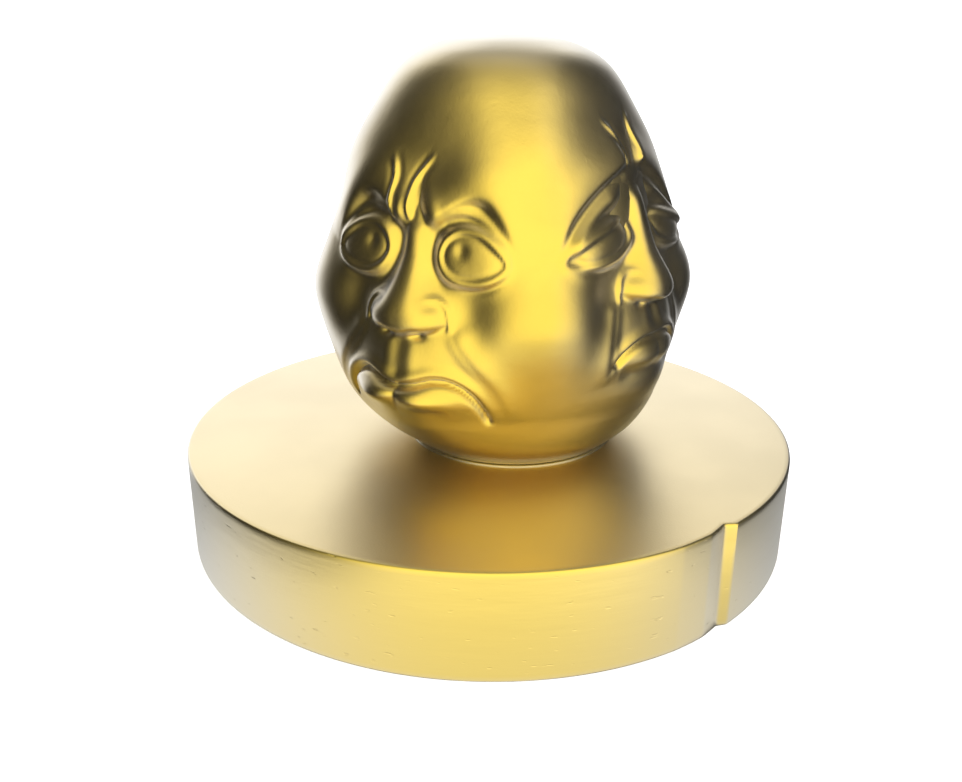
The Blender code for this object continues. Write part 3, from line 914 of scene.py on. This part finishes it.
def notch_depth(azimuths):
    """Index notch, as shares of its depth: a slow ramp in, a steeper end, then a wall back out."""
    along = np.clip((azimuths - NOTCH_START) / (NOTCH_END - NOTCH_START), 0.0, 1.0)
    last = np.clip(1.0 - (NOTCH_END - azimuths) / NOTCH_STEEP, 0.0, 1.0)
    back = np.clip((azimuths - NOTCH_END) / NOTCH_WALL, 0.0, 1.0)
    return (0.45 * along + 0.55 * last) * (1.0 - back)


def rim_profile():
    """Height, inset from the full radius and notch depth of each ring up the disc's side."""
    low = DISC[0][2] / MM
    high = DISC_TOP
    return (
        (low, 0.4, NOTCH_LOW_DEEP),
        (low + 0.06, 0.2, NOTCH_LOW_DEEP),
        (low + 0.2, 0.06, NOTCH_LOW_DEEP),
        (low + 0.45, 0.0, NOTCH_LOW_DEEP),
        (low + 1.2, 0.0, NOTCH_LOW_DEEP),
        (low + 6.0, 0.0, 1.0),
        (high - 6.0, 0.0, 1.2),
        (high - 1.2, 0.0, NOTCH_DEEP),
        (high - 0.45, 0.0, NOTCH_DEEP),
        (high - 0.2, 0.06, NOTCH_DEEP),
        (high - 0.06, 0.2, NOTCH_DEEP),
        (high, 0.4, NOTCH_DEEP),
    )


def disc_surface(columns, seat):
    """The disc as rings: up its notched side, in over its top, then down its pocket and bore.

    The rounded edges are worn by a sum of sines of the azimuth. Returns the rings and the numbers
    of the first and last ring of the top.
    """
    azimuths = np.arange(columns) * TURN / columns
    notch = notch_depth(wrap(azimuths))
    wander = sum(np.sin(k * azimuths + k * k) / k for k in (3, 7, 16, 31, 57, 83))
    wear = RIM_WEAR * np.maximum(wander, 0.0)
    outer = DISC[1][0] / MM
    rings = []
    for height, inset, depth in rim_profile():
        radius = outer - inset - depth * notch - wear * (inset > 0)
        rings.append(ring_points(radius, height, azimuths, (0.0, 0.0)))
    plain = np.ones_like(azimuths)
    rim = rings[-1]
    first = len(rings) - 1
    pocket = ring_points(seat * plain, DISC_TOP, azimuths, PIVOT)
    for share in (0.02, 0.25, 0.5, 0.75, 0.98):
        rings.append(rim * (1 - share) + pocket * share)
    last = len(rings)
    floor = SEAT[0][2] / MM - GAP
    felt_roof = FELT[1][2] / MM + GAP
    felt_edge = (FELT[1][0] - FELT[0][0]) / 2 / MM + GAP
    inside = (
        (seat, DISC_TOP), (seat, floor), (BORE, floor),
        (BORE, WEB_BOTTOM), (COUNTERBORE, WEB_BOTTOM), (COUNTERBORE, felt_roof),
    )
    for radius, height in inside:
        rings.append(ring_points(radius * plain, height, azimuths, PIVOT))
    for height in (felt_roof, DISC[0][2] / MM):
        rings.append(ring_points(felt_edge * plain, height, azimuths, (0.0, 0.0)))
    return np.array(rings), first, last


def seat_mesh(seat):
    """Thrust ring whose rounded upper edge shows as a hairline round the neck."""
    low = SEAT[0][2] / MM
    high = DISC_TOP
    profile = (
        (15.0, low), (seat - 0.03, low), (seat - 0.03, high + 0.12),
        (seat - 0.12, high + 0.2), (15.0, high + 0.2),
    )
    return turned_mesh("seat", profile, 360, PIVOT)


def felt_mesh():
    """Felt pad with soft edges, its profile swept from the middle of its underside to its top."""
    edge = (FELT[1][0] - FELT[0][0]) / 2 / MM
    thick = FELT[1][2] / MM
    profile = (
        (20.0, 0.0), (edge - 0.45, 0.0), (edge - 0.15, 0.1), (edge, 0.35), (edge, thick - 0.3),
        (edge - 0.12, thick - 0.08), (edge - 0.35, thick), (20.0, thick),
    )
    return turned_mesh("felt", profile, 480, (0.0, 0.0), closed=False)


class DOLL_OT_stand(bpy.types.Operator):
    """Turn the stand with its notch, seat ring and felt"""

    bl_idname = "doll.stand"
    bl_label = "Stand"

    def execute(self, context):
        chosen = context.scene.doll_stand
        seat = (SEAT[1][0] - SEAT[0][0]) / 2 / MM + GAP
        rings, first, last = disc_surface(chosen.columns, seat)
        mesh = skin_rings("disc", rings, closed=True, sharp=33)
        side = turned_finish("turned_side", tuple(chosen.side_colour), 0.34)
        made = link("disc", mesh, "stand", side)
        mesh.materials.append(satin_finish("satin_top", tuple(chosen.top_colour), 0.36))
        slots = np.zeros(len(mesh.polygons), dtype=np.int32)
        slots[first * chosen.columns : last * chosen.columns] = 1
        mesh.polygons.foreach_set("material_index", slots)
        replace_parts(made, "base_disc")
        brass = gold_finish("bright_brass", (0.78, 0.72, 0.5), 0.3, 0.004, 0.0)
        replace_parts(link("seat", seat_mesh(seat), "stand", brass), "seat_ring")
        wool = felt_finish("wool_felt")
        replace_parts(link("felt", felt_mesh(), "stand", wool), "felt_pad")
        return {"FINISHED"}


class DOLL_OT_hardware(bpy.types.Operator):
    """Give the bearing, screws and plates their finishes"""

    bl_idname = "doll.hardware"
    bl_label = "Hardware"

    def execute(self, context):
        finishes = {
            "steel": steel_finish("zinc_steel_turned"),
            "bronze": bronze_finish("bearing_bronze"),
        }
        plan = {"pivot_bush": "bronze"}
        for name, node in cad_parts.items():
            if node.hide_render:
                continue
            node.data.materials.clear()
            node.data.materials.append(finishes[plan.get(name, "steel")])
        return {"FINISHED"}


# Front box's azimuth in degrees from -Y; then the camera, in millimetres and degrees
BOX_AZIMUTH = -42.0
CAMERA_AZIMUTH = -54.0
CAMERA_DISTANCE = 179.4
CAMERA_HEIGHT = 92.9
CAMERA_PITCH = 20.31
CAMERA_YAW = -0.5
CAMERA_ROLL = 0.39
CAMERA_LENS = 34.83
FLOOR_SIZE = 6.0


def studio_world():
    """Pale studio: soft boxes ahead and behind, black flags at both sides, a dimmer ceiling.

    Ahead and behind depend on the cosine of the azimuth from the front box's own azimuth, and
    everything fades by half towards straight down.
    """
    world = bpy.data.worlds.new("studio")
    bpy.context.scene.world = world
    graph = Graph(world)
    back = graph.tree.nodes["Background"]
    direction = graph.node("ShaderNodeTexCoord", output=0)
    front = math.radians(BOX_AZIMUTH)

    def along(axis):
        return graph.node(
            "ShaderNodeVectorMath", {"operation": "DOT_PRODUCT"}, {0: direction, 1: axis}, output=1
        )

    ahead = along((math.sin(front), -math.cos(front), 0.0))
    beside = along((math.cos(front), math.sin(front), 0.0))
    up = along((0.0, 0.0, 1.0))
    ahead = ahead / (ahead * ahead + beside * beside + 0.0001) ** 0.5
    light = 0.017 + 1.86 * ahead.ramp(0.2, 0.82) * (1.0 - up.ramp(0.82, 0.93))
    light = light + 1.62 * (0.0 - ahead).ramp(0.60, 0.92) * (1.0 - up.ramp(0.62, 0.9))
    light = light + (0.66 - light) * up.ramp(0.8, 0.95)
    light = light * (1.0 - 0.5 * (0.0 - up).ramp(0.35, 0.65))
    graph.feed(back.inputs["Color"], (1.0, 1.0, 1.0))
    graph.feed(back.inputs["Strength"], light)


def stage_piece(name, mesh, finish, unseen):
    """Put a stage mesh in the scene, hidden from the named kinds of ray."""
    made = bpy.data.objects.new(name, mesh)
    bpy.context.scene.collection.objects.link(made)
    mesh.materials.append(finish)
    for kind in unseen:
        setattr(made, "visible_" + kind, False)


def pale_floor():
    """Wide pale floor that glows a little, so that it stays even."""
    mesh = bpy.data.meshes.new("floor")
    signs = ((-1, -1), (1, -1), (1, 1), (-1, 1))
    corners = [(FLOOR_SIZE * x, FLOOR_SIZE * y, 0.0) for x, y in signs]
    mesh.from_pydata(corners, [], [(0, 1, 2, 3)])
    constants = {
        "Roughness": 0.9,
        "Base Color": (0.9, 0.9, 0.9),
        "Emission Color": (1.0, 1.0, 1.0),
        "Emission Strength": 0.8,
    }
    stage_piece("floor", mesh, principled("pale_floor", constants)[0], ("glossy",))


def under_light():
    """Ring of light card round the disc's foot that lights its side, brighter to the front left."""
    profile = ((60.3, -0.4), (88.0, -0.4), (88.0, -0.2), (60.3, -0.2))
    sheet = turned_mesh("reflector", profile, 96, (0.0, 0.0))
    constants = {"Roughness": 0.9, "Base Color": (0.0, 0.0, 0.0), "Emission Strength": 1.0}
    made, graph, shader = principled("reflector_card", constants)
    side = math.radians(CAMERA_AZIMUTH - 8.0)
    towards = (10.0 * math.sin(side), -10.0 * math.cos(side), 0.0)
    spot = graph.node(
        "ShaderNodeVectorMath", {"operation": "DOT_PRODUCT"}, {0: graph.place(), 1: towards}, output=1
    )
    bright = graph.mix(spot.ramp(0.0, 0.75), (0.52, 0.52, 0.50), (1.23, 1.23, 1.20))
    graph.feed(shader.inputs["Emission Color"], bright)
    stage_piece("reflector", sheet, made, ("camera", "diffuse", "shadow"))


def backdrop():
    """White wall far round the floor that only the camera sees."""
    profile = ((5500, -0.5), (5560, -0.5), (5560, 6000), (5500, 6000))
    wall = turned_mesh("backdrop", profile, 64, (0.0, 0.0))
    constants = {"Roughness": 0.9, "Emission Color": (1.0, 1.0, 1.0), "Emission Strength": 1.0}
    finish = principled("backdrop_sheet", constants)[0]
    stage_piece("backdrop", wall, finish, ("diffuse", "glossy", "transmission", "shadow"))


class DOLL_OT_studio(bpy.types.Operator):
    """Set the floor, lights and camera"""

    bl_idname = "doll.studio"
    bl_label = "Studio"

    def execute(self, context):
        scene = context.scene
        scene.view_settings.view_transform = "Standard"
        studio_world()
        pale_floor()
        under_light()
        backdrop()
        front = math.radians(CAMERA_AZIMUTH)
        lens = bpy.data.cameras.new("camera")
        lens.lens = CAMERA_LENS
        lens.sensor_width = 36.0
        lens.clip_start = 0.01
        camera = bpy.data.objects.new("camera", lens)
        scene.collection.objects.link(camera)
        turn = Matrix.Rotation(front - math.radians(CAMERA_YAW), 4, "Z")
        tilt = Matrix.Rotation(math.radians(90.0 - CAMERA_PITCH), 4, "X")
        roll_turn = Matrix.Rotation(math.radians(CAMERA_ROLL), 4, "Z")
        place = Matrix.Translation(
            (
                CAMERA_DISTANCE * MM * math.sin(front),
                -CAMERA_DISTANCE * MM * math.cos(front),
                CAMERA_HEIGHT * MM,
            )
        )
        camera.matrix_world = place @ turn @ tilt @ roll_turn
        scene.camera = camera
        return {"FINISHED"}


class DOLL_PT_panel(bpy.types.Panel):
    """Lists the pieces in the sidebar."""

    bl_label = "Doll's Head"
    bl_idname = "DOLL_PT_panel"
    bl_space_type = "VIEW_3D"
    bl_region_type = "UI"
    bl_category = "Doll's Head"

    def draw(self, context):
        column = self.layout.column()
        for piece in PIECES:
            column.operator(piece.bl_idname)


PIECES = (DOLL_OT_head, DOLL_OT_stand, DOLL_OT_hardware, DOLL_OT_studio)
CLASSES = (HeadSettings, StandSettings, *PIECES, DOLL_PT_panel)


def register():
    """Add the classes and their settings to Blender."""
    for item in CLASSES:
        bpy.utils.register_class(item)
    bpy.types.Scene.doll_head = bpy.props.PointerProperty(type=HeadSettings)
    bpy.types.Scene.doll_stand = bpy.props.PointerProperty(type=StandSettings)


def unregister():
    """Remove them again."""
    del bpy.types.Scene.doll_stand
    del bpy.types.Scene.doll_head
    for item in reversed(CLASSES):
        bpy.utils.unregister_class(item)


def main():
    """Make every piece in order."""
    register()
    bpy.ops.doll.head()
    bpy.ops.doll.stand()
    bpy.ops.doll.hardware()
    bpy.ops.doll.studio()


if __name__ == "__main__":
    main()
